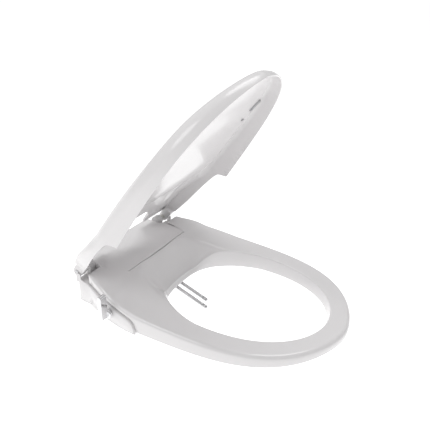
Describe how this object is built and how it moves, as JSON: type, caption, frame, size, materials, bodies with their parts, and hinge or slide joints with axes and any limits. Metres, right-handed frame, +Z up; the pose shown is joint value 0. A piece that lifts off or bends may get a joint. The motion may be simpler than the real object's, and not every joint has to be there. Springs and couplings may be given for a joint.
{
  "type": "bidet toilet seat",
  "caption": "Bidet toilet seat with lid, open ring seat, flat rear base unit, side lever valve and two sliding spray nozzles.",
  "frame": {"origin": "midway between the two fixing slots, on the plane of the bowl's rim", "axes": "+Z up, -Y towards the front of the seat, +X towards the user's left when seated"},
  "size_m": [0.3931, 0.5374, 0.503],
  "materials": {
    "seat_plastic": "glossy moulded white plastic",
    "lid_plastic": "glossy moulded white plastic",
    "cover_plastic": "glossy moulded white plastic",
    "base_plastic": "glossy moulded white plastic",
    "inner_plastic": "plain moulded pale plastic",
    "bush_plastic": "slippery pale plastic",
    "damper_plastic": "dark moulded plastic",
    "bumper_rubber": "soft pale rubber",
    "pin_steel": "ground stainless steel",
    "nozzle_steel": "polished stainless steel tube",
    "lever_chrome": "bright plated metal",
    "valve_brass": "machined brass"
  },
  "bodies": {
    "seat": {"seat_shell": "seat_plastic", "seat_bottom_plate": "inner_plastic", "seat_bumpers": "bumper_rubber", "seat_hinge_bush_right": "bush_plastic", "seat_hinge_bush_left": "bush_plastic"},
    "lid": {"lid_shell": "lid_plastic", "lid_inner_panel": "lid_plastic", "lid_bumpers": "bumper_rubber", "lid_hinge_bush_right": "bush_plastic", "lid_hinge_bush_left": "bush_plastic"},
    "base": {"mounting_plate": "inner_plastic", "chassis": "base_plastic", "top_cover": "cover_plastic", "right_side_housing": "base_plastic", "left_side_housing": "base_plastic", "hinge_bracket_right": "base_plastic", "hinge_bracket_left": "base_plastic", "lid_damper_right": "damper_plastic", "lid_damper_left": "damper_plastic", "hinge_pin_right": "pin_steel", "hinge_pin_left": "pin_steel", "base_feet": "bumper_rubber", "valve_body": "valve_brass", "spindle_seal": "bumper_rubber", "nozzle_guide": "inner_plastic", "inlet_fitting": "valve_brass", "inlet_filter": "pin_steel"},
    "lever": {"spindle": "valve_brass", "lever_hub": "lever_chrome", "lever_bar": "lever_chrome"},
    "rear_nozzle": {"rear_wash_tube": "nozzle_steel", "rear_wash_tip": "nozzle_steel"},
    "front_nozzle": {"front_wash_tube": "nozzle_steel", "front_wash_tip": "nozzle_steel"}
  },
  "joints": [
    {"name": "lid_hinge", "type": "hinge", "parent": "base", "child": "lid", "pos_m": [0, 0.038, 0.062], "axis": [-1, 0, 0], "range_deg": [-56.6, 45]},
    {"name": "seat_hinge", "type": "hinge", "parent": "base", "child": "seat", "pos_m": [0, 0.038, 0.062], "axis": [-1, 0, 0], "range_deg": [0, 48]},
    {"name": "lever_turn", "type": "hinge", "parent": "base", "child": "lever", "pos_m": [-0.19, -0.0655, 0.0225], "axis": [-1, 0, 0], "range_deg": [-90, 90]},
    {"name": "rear_nozzle_slide", "type": "slide", "parent": "base", "child": "rear_nozzle", "axis": [0, 0.9455, 0.3256], "range_m": [0, 0.075]},
    {"name": "front_nozzle_slide", "type": "slide", "parent": "base", "child": "front_nozzle", "axis": [0, 0.9455, 0.3256], "range_m": [0, 0.063]}
  ]
}
